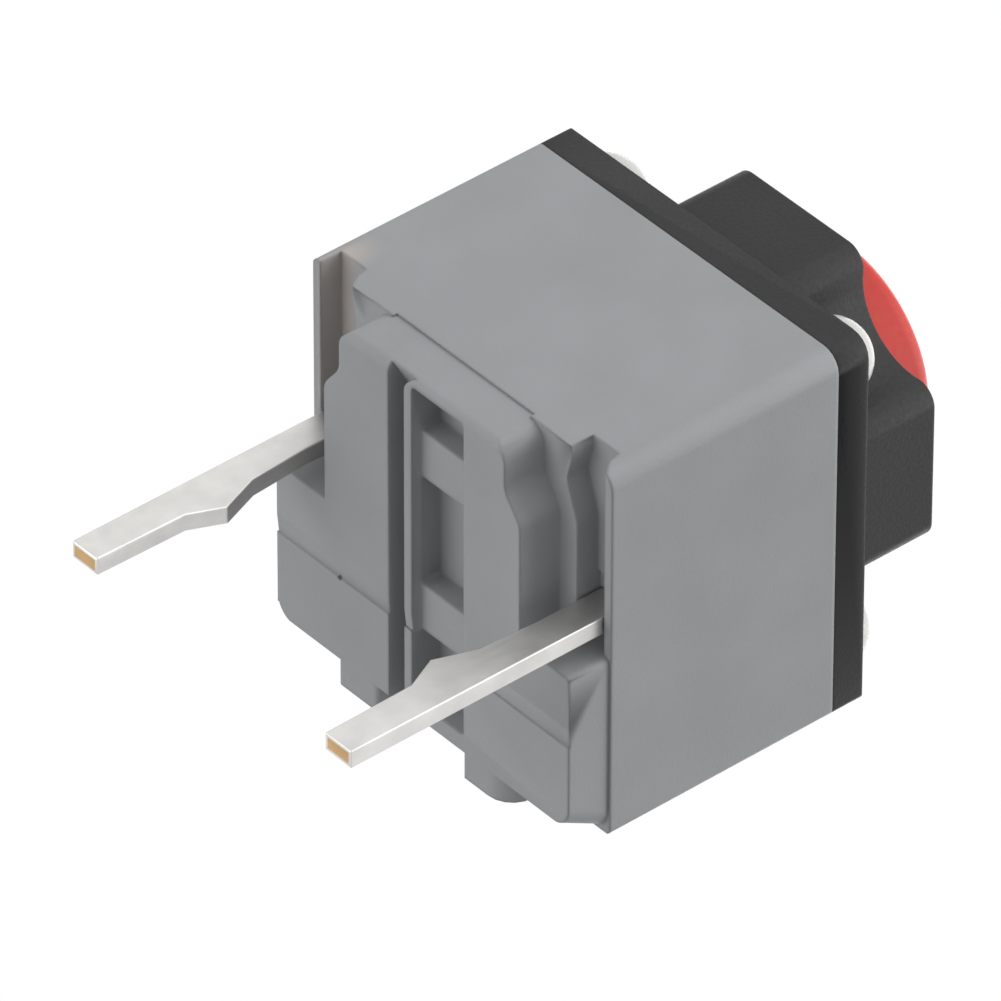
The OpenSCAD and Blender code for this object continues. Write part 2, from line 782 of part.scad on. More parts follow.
module contact_blade() {
    length = pivot_out + contact_out;
    color(bronze)
        difference() {
            union() {
                translate([-pivot_out, -blade_w / 2, blade_under])
                    cube([length, blade_w, blade_t]);
                translate([contact_out, 0, blade_under])
                    cylinder(r = blade_w / 2, h = blade_t);
                blade_eye();
            }
            translate([contact_out, 0, blade_under - over])
                cylinder(r = shank_r + sheet_fit, h = blade_t + 2 * over);
            for (x = [-slot_out - slot_len, -slot_out])
                translate([x, 0, blade_under - over])
                    cylinder(r = slot_w / 2, h = blade_t + 2 * over);
            translate([-slot_out - slot_len, -slot_w / 2, blade_under - over])
                cube([slot_len, slot_w, blade_t + 2 * over]);
        }
}

// Moving contact: a rivet with its flat head under the blade
module moving_contact() {
    color(silver)
        translate([contact_out, 0, 0]) {
            translate([0, 0, contact_under])
                cylinder(r = contact_r, h = moving_t - seat / 2);
            translate([0, 0, contact_under])
                cylinder(r = shank_r, h = moving_t + blade_t + seat);
            translate([0, 0, blade_top + seat / 2])
                cylinder(r = shank_r + formed_t, h = formed_t);
        }
}

base();
cover();
guide_frame();
button();
damper_ring();
return_spring();
left_terminal();
right_terminal();
fixed_contact();
contact_blade();
moving_contact();
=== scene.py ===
# %% [markdown]
# # A square push button switch
# This switch is 6 mm across. Its grey base, black cover and white inner frame are moulded, and its red button
# stands in a bore in the cover. Two tin plated pins go through a circuit board. The solids come from a packed
# CAD model, and this lesson gives them rounded edges, smooth wire and finishes.

from math import cos, pi, radians, sin

import bmesh
import bpy
from mathutils import Matrix, Vector
from mathutils.geometry import intersect_point_line


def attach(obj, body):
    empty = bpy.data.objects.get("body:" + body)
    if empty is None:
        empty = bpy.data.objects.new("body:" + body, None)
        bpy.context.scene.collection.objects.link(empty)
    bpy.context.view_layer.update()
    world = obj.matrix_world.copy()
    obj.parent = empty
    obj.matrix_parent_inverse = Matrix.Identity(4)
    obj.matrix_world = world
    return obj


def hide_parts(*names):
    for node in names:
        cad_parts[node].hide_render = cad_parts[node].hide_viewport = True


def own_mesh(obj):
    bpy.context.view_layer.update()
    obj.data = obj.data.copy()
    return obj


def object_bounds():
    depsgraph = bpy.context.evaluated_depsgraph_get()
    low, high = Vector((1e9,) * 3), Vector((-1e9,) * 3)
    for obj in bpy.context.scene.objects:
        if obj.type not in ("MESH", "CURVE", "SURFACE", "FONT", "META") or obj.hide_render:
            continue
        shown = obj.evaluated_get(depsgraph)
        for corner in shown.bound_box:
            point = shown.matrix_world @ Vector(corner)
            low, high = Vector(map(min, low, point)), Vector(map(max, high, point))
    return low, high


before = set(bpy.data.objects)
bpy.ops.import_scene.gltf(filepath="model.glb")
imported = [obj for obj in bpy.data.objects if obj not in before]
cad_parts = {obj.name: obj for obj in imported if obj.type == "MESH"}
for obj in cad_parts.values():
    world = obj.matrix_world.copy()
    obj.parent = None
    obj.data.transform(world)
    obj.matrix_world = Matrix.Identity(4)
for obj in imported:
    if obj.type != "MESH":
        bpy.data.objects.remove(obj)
cad_box = [list(corner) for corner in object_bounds()]
MM = 0.001
print("nodes:", ", ".join(sorted(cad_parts)))
print("box in mm:", [[round(value / MM, 2) for value in corner] for corner in cad_box])

# %% [markdown]
# ## Camera
# The photograph was taken from below, from the side of the right pin, with a long lens that hardly shows
# perspective. A camera 20 cm away with a very long lens gives the same view. Its three directions are written
# out, because they were fitted to the corners of the housing.

# %% Camera
LOOK_RIGHT = Vector((0.64622, -0.00158, 0.76315))
LOOK_DOWN = Vector((0.47656, 0.78188, -0.40193))
LOOK_AHEAD = Vector((-0.59606, 0.62342, 0.50602))
CAMERA_PLACE = Vector((120.844, -126.817, -101.242)) * MM
CAMERA_LENS = 558.9

camera_data = bpy.data.cameras.new("photo_camera")
camera_data.sensor_width = 36
camera_data.lens = CAMERA_LENS
camera_data.clip_start = 0.05
camera_data.clip_end = 10
camera = bpy.data.objects.new("photo_camera", camera_data)
turn = Matrix((LOOK_RIGHT, -LOOK_DOWN, -LOOK_AHEAD)).transposed()
camera.matrix_world = Matrix.Translation(CAMERA_PLACE) @ turn.to_4x4()
bpy.context.scene.collection.objects.link(camera)
bpy.context.scene.camera = camera
bpy.context.scene.view_settings.view_transform = "Standard"
print("camera is", round(CAMERA_PLACE.length, 3), "m away")

# %% [markdown]
# ## Floor
# The switch stands on the tips of its pins. The photograph looks up from below and has no floor, so this
# floor only shows itself to a camera above it, with the shadow that the switch throws. Geometry's Backfacing
# and Light Path's Is Camera Ray decide that. Every other ray passes, so the lamp under the floor reaches the
# underside, and the cut tips, which stand on the floor, mirror the bright surround.

# %% Floor
FLOOR_COLOUR = (0.8, 0.8, 0.8, 1)
FLOOR_SIZE = 0.6


def floor_material():
    """A pale matt floor that only a camera above it sees."""
    material = bpy.data.materials.new("floor_pale")
    material.use_nodes = True
    nodes, links = material.node_tree.nodes, material.node_tree.links
    pale = nodes["Principled BSDF"]
    pale.inputs["Base Color"].default_value = FLOOR_COLOUR
    pale.inputs["Roughness"].default_value = 0.9
    clear = nodes.new("ShaderNodeBsdfTransparent")
    path = nodes.new("ShaderNodeLightPath")
    side = nodes.new("ShaderNodeNewGeometry")
    shown = nodes.new("ShaderNodeMath")
    shown.operation = "SUBTRACT"
    shown.use_clamp = True
    pick = nodes.new("ShaderNodeMixShader")
    links.new(path.outputs["Is Camera Ray"], shown.inputs[0])
    links.new(side.outputs["Backfacing"], shown.inputs[1])
    links.new(shown.outputs[0], pick.inputs["Fac"])
    links.new(clear.outputs[0], pick.inputs[1])
    links.new(pale.outputs[0], pick.inputs[2])
    links.new(pick.outputs[0], nodes["Material Output"].inputs["Surface"])
    return material


floor_mesh = bpy.data.meshes.new("floor")
bm = bmesh.new()
bmesh.ops.create_grid(bm, x_segments=1, y_segments=1, size=FLOOR_SIZE / 2)
bmesh.ops.translate(bm, verts=bm.verts, vec=(0, 0, cad_box[0][2]))
bm.to_mesh(floor_mesh)
bm.free()
floor = bpy.data.objects.new("floor", floor_mesh)
floor_mesh.materials.append(floor_material())
bpy.context.scene.collection.objects.link(floor)
print("floor at", round(cad_box[0][2] / MM, 2), "mm")

# %% [markdown]
# ## Light
# The light in the photograph is soft and comes from all round, as in a light tent. The lamps are large and
# near, so that their shadows are soft. The camera sees three sides, and each has its own lamp: one stands
# behind the switch, one high beside its right face, which leaves the foot blocks' flanks darker, and one
# below it. The fourth is for the front and the left, which the photograph doesn't show. None stands where a
# flat face of a pin would mirror it into the camera.
#
# A lamp's level is about how bright it makes a white surface that faces it, and its power is the level times
# the square of pi times its distance. With the surround, the lamps bring each side to roughly one, so a
# colour renders about as it is written. The surround lights the switch more weakly than it looks: the camera
# sees it as white, and so does every reflection.

# %% Light
SURROUND_STRENGTH = 0.33
LAMP_DISTANCE = 0.5
LAMP_SIZE = 0.6
LAMPS = {
    "rear_lamp": ((0.08, -0.9, 0.42), 0.61),
    "side_lamp": ((0.65, -0.1, 0.85), 0.86),
    "low_lamp": ((-0.45, -0.25, -1.0), 0.64),
    "front_lamp": ((-0.6, 1.0, 0.8), 0.4),
}


def add_lamp(name, direction, level):
    """A large square lamp that aims at the switch from direction."""
    lamp_data = bpy.data.lights.new(name, "AREA")
    lamp_data.size = LAMP_SIZE
    lamp_data.energy = level * (pi * LAMP_DISTANCE) ** 2
    lamp = bpy.data.objects.new(name, lamp_data)
    aim = Vector(direction).normalized()
    turned_to_switch = aim.to_track_quat("Z", "Y").to_matrix().to_4x4()
    lamp.matrix_world = Matrix.Translation(aim * LAMP_DISTANCE) @ turned_to_switch
    bpy.context.scene.collection.objects.link(lamp)


for lamp_name, (direction, level) in LAMPS.items():
    add_lamp(lamp_name, direction, level)

world = bpy.data.worlds.new("surround")
bpy.context.scene.world = world
world.use_nodes = True
nodes, links = world.node_tree.nodes, world.node_tree.links
soft = nodes["Background"]
soft.inputs["Color"].default_value = (1, 1, 1, 1)
soft.inputs["Strength"].default_value = SURROUND_STRENGTH
white = nodes.new("ShaderNodeBackground")
white.inputs["Color"].default_value = (1, 1, 1, 1)
path = nodes.new("ShaderNodeLightPath")
seen = nodes.new("ShaderNodeMath")
seen.operation = "MAXIMUM"
seen_too = nodes.new("ShaderNodeMath")
seen_too.operation = "MAXIMUM"
pick = nodes.new("ShaderNodeMixShader")
links.new(path.outputs["Is Camera Ray"], seen.inputs[0])
links.new(path.outputs["Is Glossy Ray"], seen.inputs[1])
links.new(seen.outputs[0], seen_too.inputs[0])
links.new(path.outputs["Is Transmission Ray"], seen_too.inputs[1])
links.new(seen_too.outputs[0], pick.inputs["Fac"])
links.new(soft.outputs[0], pick.inputs[1])
links.new(white.outputs[0], pick.inputs[2])
links.new(pick.outputs[0], nodes["World Output"].inputs["Surface"])
print("lamps:", len(LAMPS))

# %% [markdown]
# ## Finishes
# A finish starts from Object coordinates, which stay with the piece when it moves. Noise at two sizes does
# most of the work: a broad one shifts the tone a little, as moulded plastic does, and a fine one raises the
# grain. On an object of 6 mm the sizes are small, so each noise is given the size of its patches in metres.
#
# A Bevel node can soften the look of edges as well. It only bends the normals near an edge while the picture
# is made, and the mesh keeps its shape.


# %% Noise, tone and bump
NOISE_LOW, NOISE_HIGH = 0.3, 0.7
BEVEL_SAMPLES = 6
PLASTIC_PATCH = 1.4 * MM
METAL_PATCH = 0.5 * MM
METAL_LINE = 0.03 * MM
GRAIN_DETAIL = 2.0
PATCH_DETAIL = 3.0
LIGHT_REACH = 0.3 * MM
GLOSS_SPREAD = 0.06


def add_noise(tree, size, detail=GRAIN_DETAIL, stretch=(1, 1, 1)):
    """Noise whose patches are about size metres, drawn out along an axis where stretch is over one."""
    place = tree.nodes.new("ShaderNodeTexCoord")
    scale = tree.nodes.new("ShaderNodeMapping")
    scale.inputs["Scale"].default_value = [1 / (size * factor) for factor in stretch]
    noise = tree.nodes.new("ShaderNodeTexNoise")
    noise.inputs["Scale"].default_value = 1
    noise.inputs["Detail"].default_value = detail
    tree.links.new(place.outputs["Object"], scale.inputs["Vector"])
    tree.links.new(scale.outputs[0], noise.inputs["Vector"])
    return noise.outputs["Fac"]


def add_range(tree, value, low, high):
    """Spreads the middle of a noise's values from low to high."""
    spread = tree.nodes.new("ShaderNodeMapRange")
    spread.inputs["From Min"].default_value = NOISE_LOW
    spread.inputs["From Max"].default_value = NOISE_HIGH
    spread.inputs["To Min"].default_value = low
    spread.inputs["To Max"].default_value = high
    tree.links.new(value, spread.inputs["Value"])
    return spread.outputs["Result"]


def add_tone(tree, shader, value, colour, shift):
    """Colour that runs from a little darker to a little lighter with value."""
    mix = tree.nodes.new("ShaderNodeMix")
    mix.data_type = "RGBA"
    mix.inputs["A"].default_value = [part * (1 - shift) for part in colour] + [1]
    mix.inputs["B"].default_value = [part * (1 + shift) for part in colour] + [1]
    tree.links.new(add_range(tree, value, 0, 1), mix.inputs["Factor"])
    tree.links.new(mix.outputs["Result"], shader.inputs["Base Color"])


def add_bump(tree, shader, value, depth, soft_edge=0.0):
    """Raises the surface by depth metres where value is one, and softens edges within soft_edge metres."""
    bump = tree.nodes.new("ShaderNodeBump")
    bump.inputs["Distance"].default_value = depth
    tree.links.new(value, bump.inputs["Height"])
    if soft_edge:
        soft = tree.nodes.new("ShaderNodeBevel")
        soft.samples = BEVEL_SAMPLES
        soft.inputs["Radius"].default_value = soft_edge
        tree.links.new(soft.outputs[0], bump.inputs["Normal"])
    tree.links.new(bump.outputs[0], shader.inputs["Normal"])


def moulded(name, colour, roughness, grain, depth, shift=0.04, soft_light=0.0, sheen=0.5, soft_edge=0.0):
    """Moulded plastic: a slightly uneven tone, and a grain of patches grain metres wide and depth high."""
    material = bpy.data.materials.new(name)
    material.use_nodes = True
    tree = material.node_tree
    shader = tree.nodes["Principled BSDF"]
    add_tone(tree, shader, add_noise(tree, PLASTIC_PATCH, PATCH_DETAIL), colour, shift)
    grain_noise = add_noise(tree, grain)
    add_bump(tree, shader, grain_noise, depth, soft_edge)
    gloss = add_range(tree, grain_noise, roughness - GLOSS_SPREAD, roughness + GLOSS_SPREAD)
    tree.links.new(gloss, shader.inputs["Roughness"])
    shader.inputs["Specular IOR Level"].default_value = sheen
    shader.inputs["Subsurface Weight"].default_value = soft_light
    shader.inputs["Subsurface Radius"].default_value = [LIGHT_REACH] * 3
    return material


def metal(name, colour, roughness, stretch, depth, shift=0.06, spread=0.08):
    """Worked metal: fine lines, drawn out by stretch along the way it was rolled or drawn."""
    material = bpy.data.materials.new(name)
    material.use_nodes = True
    tree = material.node_tree
    shader = tree.nodes["Principled BSDF"]
    shader.inputs["Metallic"].default_value = 1
    lines = add_noise(tree, METAL_LINE, PATCH_DETAIL, stretch)
    add_tone(tree, shader, add_noise(tree, METAL_PATCH, PATCH_DETAIL), colour, shift)
    add_bump(tree, shader, lines, depth)
    tree.links.new(add_range(tree, lines, roughness - spread, roughness + spread), shader.inputs["Roughness"])
    return material


# %% [markdown]
# Each moulded piece has its own grain. The base and the cover have the fine matt grain of a spark eroded
# mould and soft edges, the frame's nylon is smoother and lets some light in, and the button is satin. The
# pins are tin plated before they are cut, so bare brass shows at their sheared tips.

# %% The switch's finishes
GREY = (0.322, 0.333, 0.343)
BLACK = (0.014, 0.013, 0.013)
WHITE = (0.60, 0.60, 0.58)
RED = (0.57, 0.035, 0.025)
RUBBER = (0.6, 0.62, 0.62)
TIN = (0.59, 0.58, 0.565)
BRASS = (0.50, 0.32, 0.15)
STEEL = (0.62, 0.62, 0.62)
SILVER = (0.88, 0.87, 0.84)
BRONZE = (0.72, 0.47, 0.27)
ALONG_X = (25, 1, 1)
ALONG_Z = (1, 1, 25)
ACROSS = (1, 6, 1)
ROUND_ABOUT = (3, 3, 1)
EVEN = (1, 1, 1)

base_grey = moulded("base_grey", GREY, 0.6, 0.045 * MM, 0.003 * MM, sheen=0.3, soft_edge=0.08 * MM)
cover_black = moulded("cover_black", BLACK, 0.5, 0.06 * MM, 0.005 * MM, shift=0.15, sheen=0.3,
                      soft_edge=0.06 * MM)
frame_white = moulded("frame_white", WHITE, 0.3, 0.12 * MM, 0.002 * MM, shift=0.02, soft_light=0.3)
button_red = moulded("button_red", RED, 0.42, 0.08 * MM, 0.002 * MM, shift=0.05, soft_light=0.1, sheen=0.32)
damper_rubber = moulded("damper_rubber", RUBBER, 0.75, 0.05 * MM, 0.003 * MM, shift=0.03, soft_light=0.3)
tin_plate = metal("tin_plate", TIN, 0.42, ALONG_Z, 0.0004 * MM, shift=0.08, spread=0.03)
sheared_brass = metal("sheared_brass", BRASS, 0.42, ACROSS, 0.003 * MM, shift=0.12)
spring_steel = metal("spring_steel", STEEL, 0.3, ROUND_ABOUT, 0.001 * MM)
contact_silver = metal("contact_silver", SILVER, 0.22, EVEN, 0.001 * MM)
blade_bronze = metal("blade_bronze", BRONZE, 0.3, ALONG_X, 0.002 * MM)
print("finishes:", len(bpy.data.materials))

# %% [markdown]
# Where the base is thin, at the foot of the left side wall beside its channel, light comes through and the
# grey looks lighter and a little warm. That light is painted: the base's finish multiplies its colour by a
# lighter, warm tint there. The tint's mask is a product of soft steps, which fade it upward, towards the
# front, towards the middle and at the outer face. A second mask, by the distance from one point, paints the
# small dark pit that the photograph shows in the left foot: painted shade, as the mesh has no hollow there.

# %% Painted glow in thin walls and painted shade in one pit
# Painted light: a lighter, warm tint stands in for light that comes through the thin wall.
PAINTED_GLOW = (1.5, 1.32, 1.2)
THIN_OUTER, THIN_MIDDLE, THIN_INNER = -2.97 * MM, -2.8 * MM, -2.3 * MM
THIN_LOW, THIN_HIGH = 1.0 * MM, 1.7 * MM
THIN_REAR, THIN_FRONT = -0.9 * MM, -0.5 * MM
# Painted shade: a dark spot stands in for the shade in a small pit, which the mesh doesn't have.
PIT_AT = Vector((-1.68, 1.2, 0.0)) * MM
PIT_RADIUS = 0.055 * MM
PIT_PAINTED_SHADE = (0.3, 0.3, 0.3)


def add_fade(tree, value, start, end, low, high):
    """Runs smoothly from low at start to high at end."""
    fade = tree.nodes.new("ShaderNodeMapRange")
    fade.interpolation_type = "SMOOTHSTEP"
    fade.inputs["From Min"].default_value = start
    fade.inputs["From Max"].default_value = end
    fade.inputs["To Min"].default_value = low
    fade.inputs["To Max"].default_value = high
    tree.links.new(value, fade.inputs["Value"])
    return fade.outputs["Result"]


def add_product(tree, first, second):
    """Two masks multiplied."""
    product = tree.nodes.new("ShaderNodeMath")
    product.operation = "MULTIPLY"
    tree.links.new(first, product.inputs[0])
    tree.links.new(second, product.inputs[1])
    return product.outputs[0]


def add_tint(tree, shader, mask, tint):
    """Multiplies the base colour by tint where mask is one."""
    before = shader.inputs["Base Color"].links[0].from_socket
    mix = tree.nodes.new("ShaderNodeMix")
    mix.data_type = "RGBA"
    mix.blend_type = "MULTIPLY"
    mix.inputs["B"].default_value = [*tint, 1]
    tree.links.new(before, mix.inputs["A"])
    tree.links.new(mask, mix.inputs["Factor"])
    tree.links.new(mix.outputs["Result"], shader.inputs["Base Color"])


def add_painted_glow_and_pit_shade(material):
    """Paints a lighter, warm glow and the shade of a small pit into the base's colour."""
    tree = material.node_tree
    shader = tree.nodes["Principled BSDF"]
    place = tree.nodes.new("ShaderNodeTexCoord")
    parts = tree.nodes.new("ShaderNodeSeparateXYZ")
    tree.links.new(place.outputs["Object"], parts.inputs[0])
    # The thin wall's glow is painted light, multiplied into the colour.
    inner = add_fade(tree, parts.outputs["X"], THIN_MIDDLE, THIN_INNER, 1, 0)
    out = add_product(tree, inner, add_fade(tree, parts.outputs["X"], THIN_OUTER, THIN_MIDDLE, 0, 1))
    low = add_fade(tree, parts.outputs["Z"], THIN_LOW, THIN_HIGH, 1, 0)
    rear = add_fade(tree, parts.outputs["Y"], THIN_REAR, THIN_FRONT, 1, 0)
    add_tint(tree, shader, add_product(tree, add_product(tree, out, low), rear), PAINTED_GLOW)
    # The pit is painted shade: a dark spot, with no hollow in the mesh.
    distance = tree.nodes.new("ShaderNodeVectorMath")
    distance.operation = "DISTANCE"
    distance.inputs[1].default_value = PIT_AT
    tree.links.new(place.outputs["Object"], distance.inputs[0])
    pit = add_fade(tree, distance.outputs["Value"], PIT_RADIUS / 2, PIT_RADIUS, 1, 0)
    add_tint(tree, shader, pit, PIT_PAINTED_SHADE)


add_painted_glow_and_pit_shade(base_grey)
print("pit in the left foot at", [round(value / MM, 2) for value in PIT_AT])

# %% [markdown]
# ## Rounded copies of the CAD pieces
# A real moulding has no knife edges: the mould's own edges are rounded a little, and that thin round catches
# the light and makes the piece look solid. The CAD mesh is loose triangles, so its copy is merged first, and
# flat triangles are joined into one face. Then each sharp edge that stands out gets a weight, and one Bevel
# modifier rounds the edges by their weights.
#
# All faces are shaded smooth, so the sharp edges that aren't rounded are marked sharp, and shading stops at
# them. A Weighted Normal modifier then lets the wide faces set the normals, and they look flat right up to a
# round.

# %% Copy, weigh and round
MERGE_DISTANCE = 1e-7
FLAT_ANGLE = radians(0.3)
SHARP_ANGLE = radians(25)
EDGE_SHARES = (0.0, 0.25, 0.5, 0.75, 1.0)
INWARD_COSINE = 0.5
ROOM_PER_WIDTH = 2.2
FAR = 1.0


def merged_copy(node):
    """A bmesh of a CAD node, with its corners merged and its flat faces joined."""
    copy = bmesh.new()
    copy.from_mesh(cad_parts[node].data)
    bmesh.ops.remove_doubles(copy, verts=copy.verts, dist=MERGE_DISTANCE)
    bmesh.ops.dissolve_limit(copy, angle_limit=FLAT_ANGLE, verts=copy.verts, edges=copy.edges)
    return copy


def finish_piece(copy, name, body, finishes, node):
    """Makes an object from a bmesh, smooth and with its finishes, puts it on its body and hides the CAD node.
    """
    for face in copy.faces:
        face.smooth = True
    mesh = bpy.data.meshes.new(name)
    copy.to_mesh(mesh)
    copy.free()
    for finish in finishes:
        mesh.materials.append(finish)
    piece = bpy.data.objects.new(name, mesh)
    bpy.context.scene.collection.objects.link(piece)
    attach(piece, body)
    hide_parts(node)
    print(name, "has", len(mesh.polygons), "faces before its modifiers")
    return piece


def weigh_edges(copy, weight_of):
    """Gives each sharp edge the weight that weight_of returns for it, and marks it sharp where that is 0."""
    layer = copy.edges.layers.float.new("bevel_weight_edge")
    count = 0
    for edge in copy.edges:
        if len(edge.link_faces) == 2 and edge.calc_face_angle() > SHARP_ANGLE:
            edge[layer] = weight_of(edge)
            edge.smooth = edge[layer] > 0
            count += edge[layer] > 0
    return count


def room_beside(edge):
    """How far the faces beside an edge reach inward before they meet another of their edges."""
    room = FAR
    for corner in edge.link_loops:
        start, finish = corner.vert.co, corner.link_loop_next.vert.co
        inward = corner.face.normal.cross(finish - start).normalized()
        others = [other for other in corner.face.edges if not set(other.verts) & set(edge.verts)]
        for share in EDGE_SHARES:
            point = start.lerp(finish, share)
            for other in others:
                first, second = other.verts[0].co, other.verts[1].co
                near, along = intersect_point_line(point, first, second)
                near = first if along < 0 else second if along > 1 else near
                way = near - point
                if way.dot(inward) > INWARD_COSINE * way.length:
                    room = min(room, way.length)
    return room


def outer_weight(edge):
    """Weight 1 for an edge that stands out and 0 for an inner corner."""
    return 1.0 if edge.calc_face_angle_signed() > 0 else 0.0


def roomy_weight(edge, width):
    """Weight 1 for an edge that stands out and has room for a round of width metres on both of its faces."""
    return outer_weight(edge) if room_beside(edge) > ROOM_PER_WIDTH * width else 0.0


def round_edges(piece, width, segments=3):
    """Rounds the weighted edges by up to width metres and keeps the wide faces flat."""
    bevel = piece.modifiers.new("round", "BEVEL")
    bevel.limit_method = "WEIGHT"
    bevel.offset_type = "OFFSET"
    bevel.width = width
    bevel.segments = segments
    bevel.use_clamp_overlap = True
    flat = piece.modifiers.new("flat", "WEIGHTED_NORMAL")
    flat.keep_sharp = True


# %% [markdown]
# ## Base
# The base carries most of the detail: foot blocks with a groove between them, pockets that keep the walls
# even, and channels beside the pins. Its edges could be rounded one by one in the CAD model, but a weighted
# Bevel does all of them at once, and inner corners stay sharp, as the edges of a mould's cores leave them.
#
# Clamp Overlap keeps the rounds from running into each other, but one narrow step then holds the whole Bevel
# back. So the room beside each edge is measured, and edges without room for the round stay sharp.

# %% Base
BASE_ROUND = 0.07 * MM

base_copy = merged_copy("base")
print("base edges to round:", weigh_edges(base_copy, lambda edge: roomy_weight(edge, BASE_ROUND)))
base_piece = finish_piece(base_copy, "switch_base", "housing", [base_grey], "base")
round_edges(base_piece, BASE_ROUND)

# %% [markdown]
# ## Cover
# The black cover's boss has four notches, one round each white head. Its edges are rounded a little more than
# the base's.

# %% Cover
COVER_ROUND = 0.08 * MM

cover_copy = merged_copy("cover")
print("cover edges to round:", weigh_edges(cover_copy, lambda edge: roomy_weight(edge, COVER_ROUND)))
cover_piece = finish_piece(cover_copy, "switch_cover", "housing", [cover_black], "cover")
round_edges(cover_piece, COVER_ROUND)

# %% [markdown]
# ## Guide frame
# The white frame stands inside, and its pegs come up through the cover, where their ends are formed into
# domed heads. Only these heads show. Forming them leaves no two quite alike: in the photograph the rear right
# one is smaller than the rear left one. So each CAD dome is scaled by its own size about the middle of its
# foot.

# %% Guide frame
FRAME_ROUND = 0.03 * MM
HEADS_ABOVE = 5.055 * MM
HEAD_SIZES = {(-1, -1): 0.99, (1, -1): 0.94, (-1, 1): 0.96, (1, 1): 0.97}

frame_copy = merged_copy("guide_frame")
for (side_x, side_y), size in HEAD_SIZES.items():
    head = [vert for vert in frame_copy.verts
            if vert.co.z > HEADS_ABOVE and vert.co.x * side_x > 0 and vert.co.y * side_y > 0]
    low = Vector([min(vert.co[axis] for vert in head) for axis in range(3)])
    high = Vector([max(vert.co[axis] for vert in head) for axis in range(3)])
    foot = Vector(((low.x + high.x) / 2, (low.y + high.y) / 2, low.z))
    print("head at", [round(value / MM, 2) for value in foot], "has", len(head), "vertices")
    bmesh.ops.scale(frame_copy, vec=(size, size, size), space=Matrix.Translation(-foot), verts=head)
print("frame edges to round:", weigh_edges(frame_copy, outer_weight))
frame_piece = finish_piece(frame_copy, "white_frame", "housing", [frame_white], "guide_frame")
round_edges(frame_piece, FRAME_ROUND)

# %% [markdown]
# ## Turned pieces
# The button, the damper ring and the contact rivets are round, so each is one profile turned about an upright
# axis. A Screw modifier would do it too, but spin makes the mesh at once, so its edges can be weighed and
# rounded. Profiles are lists of radius and height in millimetres, read off the CAD model.


# %% Spin a profile
def turned(profile, closed=False, steps=96):
    """A bmesh made by turning a profile of (radius, height) points about Z."""
    copy = bmesh.new()
    points = [copy.verts.new((radius * MM, 0, height * MM)) for radius, height in profile]
    pairs = list(zip(points, points[1:])) + ([(points[-1], points[0])] if closed else [])
    edges = [copy.edges.new(pair) for pair in pairs]
    bmesh.ops.spin(copy, geom=points + edges, axis=(0, 0, 1), cent=(0, 0, 0), angle=2 * pi, steps=steps,
                   use_merge=True)
    bmesh.ops.remove_doubles(copy, verts=copy.verts, dist=MERGE_DISTANCE)
    bmesh.ops.recalc_face_normals(copy, faces=copy.faces)
    return copy


def arc(radius, middle, start, end, steps=8):
    """Points of an arc about (0, middle), by its angle from straight down."""
    angles = [radians(start + (end - start) * step / steps) for step in range(steps + 1)]
    return [(radius * sin(angle), middle - radius * cos(angle)) for angle in angles]


# %% [markdown]
# The button is a cup turned upside down. Its crown is a low dome whose edge is well rounded, a flange keeps
# it in, and a nib in its middle presses the contact blade. Inside, the spring has its chamber.

# %% Button
CROWN_TOP, CROWN_RADIUS, CROWN_ANGLE = 7.64, 5.254, 19.46
CROWN_EDGE_ABOVE = 6.5
NIB_TIP, NIB_RADIUS = 2.448, 0.45
BUTTON_ROUND = 0.2
SMALL_ROUND = 0.03
nib = arc(NIB_RADIUS, NIB_TIP + NIB_RADIUS, 0, 90)
walls = [(NIB_RADIUS, 5.2), (1.42, 5.2), (1.42, 3.9), (2.15, 3.9), (2.15, 4.3), (1.75, 4.3)]
crown = arc(CROWN_RADIUS, CROWN_TOP - CROWN_RADIUS, 180 - CROWN_ANGLE, 180)
crown[-1] = (0, CROWN_TOP)
nib[0] = (0, NIB_TIP)


def button_weight(edge):
    """A wide round at the crown's edge and a small one elsewhere."""
    return 1.0 if edge.verts[0].co.z > CROWN_EDGE_ABOVE * MM else SMALL_ROUND / BUTTON_ROUND


button_copy = turned(nib + walls + crown)
print("button edges to round:", weigh_edges(button_copy, button_weight))
button_piece = finish_piece(button_copy, "red_button", "plunger", [button_red], "button")
round_edges(button_piece, BUTTON_ROUND * MM, segments=5)

# %% [markdown]
# The damper ring is a soft ring on the flange. It lands on the cover when the button comes back, which is
# what makes this kind of switch quiet.

# %% Damper ring
DAMPER_ROUND = 0.05 * MM
DAMPER_PROFILE = [(1.8, 4.31), (2.1, 4.31), (2.1, 4.53), (1.8, 4.53)]

damper_copy = turned(DAMPER_PROFILE, closed=True)
print("damper edges to round:", weigh_edges(damper_copy, lambda edge: 1.0))
damper_piece = finish_piece(damper_copy, "soft_ring", "plunger", [damper_rubber], "damper_ring")
round_edges(damper_piece, DAMPER_ROUND)

# %% [markdown]
# The contacts are two rivets of silver alloy. The fixed one sits in the right terminal, and the moving one in
# the blade, whose underside it closes on.

# %% Contact rivets
RIVET_ROUND = 0.025 * MM
CONTACT_X = 1.4 * MM
FIXED_PROFILE = [(0, 1.23), (0.12, 1.23), (0.12, 1.506), (0.28, 1.506), (0.28, 1.6), (0, 1.6)]
MOVING_PROFILE = [(0, 2.169), (0.28, 2.169), (0.28, 2.313), (0.12, 2.313), (0.12, 2.424), (0.18, 2.424),
                  (0.18, 2.483), (0, 2.483)]

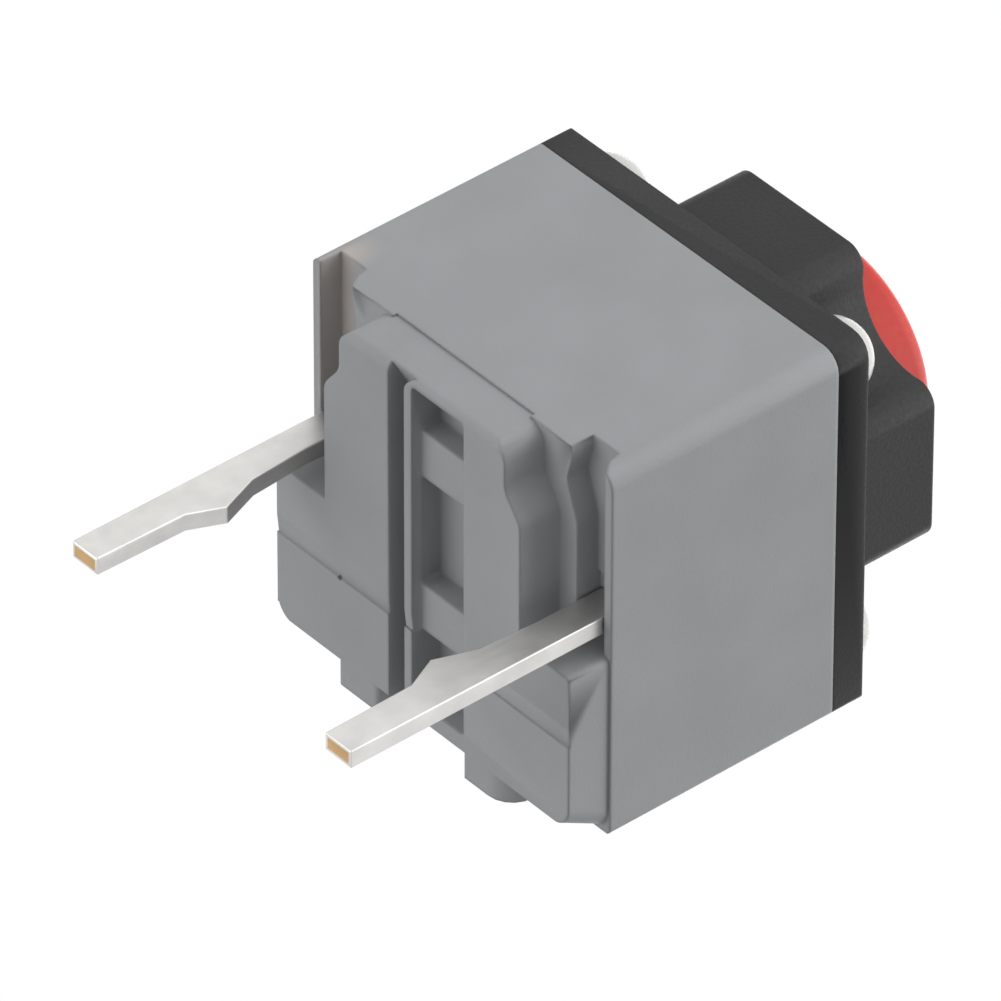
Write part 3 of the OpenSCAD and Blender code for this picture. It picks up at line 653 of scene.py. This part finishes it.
for name, profile, body, node in (("fixed_rivet", FIXED_PROFILE, "housing", "fixed_contact"),
                                  ("moving_rivet", MOVING_PROFILE, "blade", "moving_contact")):
    rivet_copy = turned(profile, steps=48)
    bmesh.ops.translate(rivet_copy, verts=rivet_copy.verts, vec=(CONTACT_X, 0, 0))
    weigh_edges(rivet_copy, outer_weight)
    rivet = finish_piece(rivet_copy, name, body, [contact_silver], node)
    round_edges(rivet, RIVET_ROUND)

# %% [markdown]
# ## Spring
# The spring is one wire, wound in six turns. Its end turns lie almost closed, so that it stands straight. A
# curve with a bevel would do, but spin can wind it as well: its dvec lifts the round section a little at each
# step.

# %% Return spring
WIRE_RADIUS, COIL_RADIUS = 0.08, 1.1
SPRING_FOOT, SPRING_TOP = 2.958, 5.19
OPEN_TURNS = 4
CLOSED_GAP = 0.02
TURN_STEPS = 40
WIRE_SEGMENTS = 14
closed_rise = 2 * WIRE_RADIUS + CLOSED_GAP
open_rise = (SPRING_TOP - SPRING_FOOT - 2 * WIRE_RADIUS - 2 * closed_rise) / OPEN_TURNS

spring_copy = bmesh.new()
start_at = Vector((COIL_RADIUS, 0, SPRING_FOOT + WIRE_RADIUS)) * MM
stand = Matrix.Translation(start_at) @ Matrix.Rotation(pi / 2, 4, "X")
bmesh.ops.create_circle(spring_copy, cap_ends=False, radius=WIRE_RADIUS * MM, segments=WIRE_SEGMENTS,
                        matrix=stand)
end = spring_copy.verts[:] + spring_copy.edges[:]
for turns, rise in ((1, closed_rise), (OPEN_TURNS, open_rise), (1, closed_rise)):
    wound = bmesh.ops.spin(spring_copy, geom=end, axis=(0, 0, 1), cent=(0, 0, 0), angle=2 * pi * turns,
                           steps=TURN_STEPS * turns, dvec=(0, 0, rise / TURN_STEPS * MM), use_merge=False)
    end = wound["geom_last"]
bmesh.ops.holes_fill(spring_copy, edges=[edge for edge in spring_copy.edges if edge.is_boundary], sides=0)
bmesh.ops.remove_doubles(spring_copy, verts=spring_copy.verts, dist=MERGE_DISTANCE)
bmesh.ops.recalc_face_normals(spring_copy, faces=spring_copy.faces)
heights = [vert.co.z / MM for vert in spring_copy.verts]
print("spring from", round(min(heights), 3), "to", round(max(heights), 3), "mm")
spring_piece = finish_piece(spring_copy, "wound_spring", "housing", [spring_steel], "return_spring")
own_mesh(spring_piece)

# %% [markdown]
# ## Terminals
# Each terminal is stamped from one sheet of brass that was plated with tin first. The shear that cuts it to
# length smears some tin over the cut, so the brass shows in the middle of the tip and the tin stands round
# it. The tip's face is inset to leave that border, and the inner face gets the bare brass.

# %% Terminals
TIN_BORDER = 0.05 * MM
TIP_WITHIN = 0.001 * MM
TERMINAL_ROUND = 0.03 * MM


def bare_the_tip(copy):
    """Insets the lowest face of a terminal and gives the brass to the middle of it."""
    lowest = min(vert.co.z for vert in copy.verts)
    tip = [face for face in copy.faces if face.calc_center_median().z < lowest + TIP_WITHIN]
    bmesh.ops.inset_region(copy, faces=tip, thickness=TIN_BORDER, depth=0, use_even_offset=True)
    for face in tip:
        face.material_index = 1
    return len(tip)


for name, node in (("left_stamping", "left_terminal"), ("right_stamping", "right_terminal")):
    terminal_copy = merged_copy(node)
    print(name, "tip faces:", bare_the_tip(terminal_copy), "edges:", weigh_edges(terminal_copy, outer_weight))
    terminal = finish_piece(terminal_copy, name, "housing", [tin_plate, sheared_brass], node)
    round_edges(terminal, TERMINAL_ROUND)

# %% [markdown]
# ## Contact blade
# The blade is rolled phosphor bronze, a tenth of a millimetre thick. Its rolled eye sits on the left
# terminal's bead, and its slot makes it limber. Its edges only need a very small round.

# %% Contact blade
BLADE_ROUND = 0.012 * MM

blade_copy = merged_copy("contact_blade")
print("blade edges to round:", weigh_edges(blade_copy, outer_weight))
blade_piece = finish_piece(blade_copy, "bronze_blade", "blade", [blade_bronze], "contact_blade")
round_edges(blade_piece, BLADE_ROUND, segments=2)
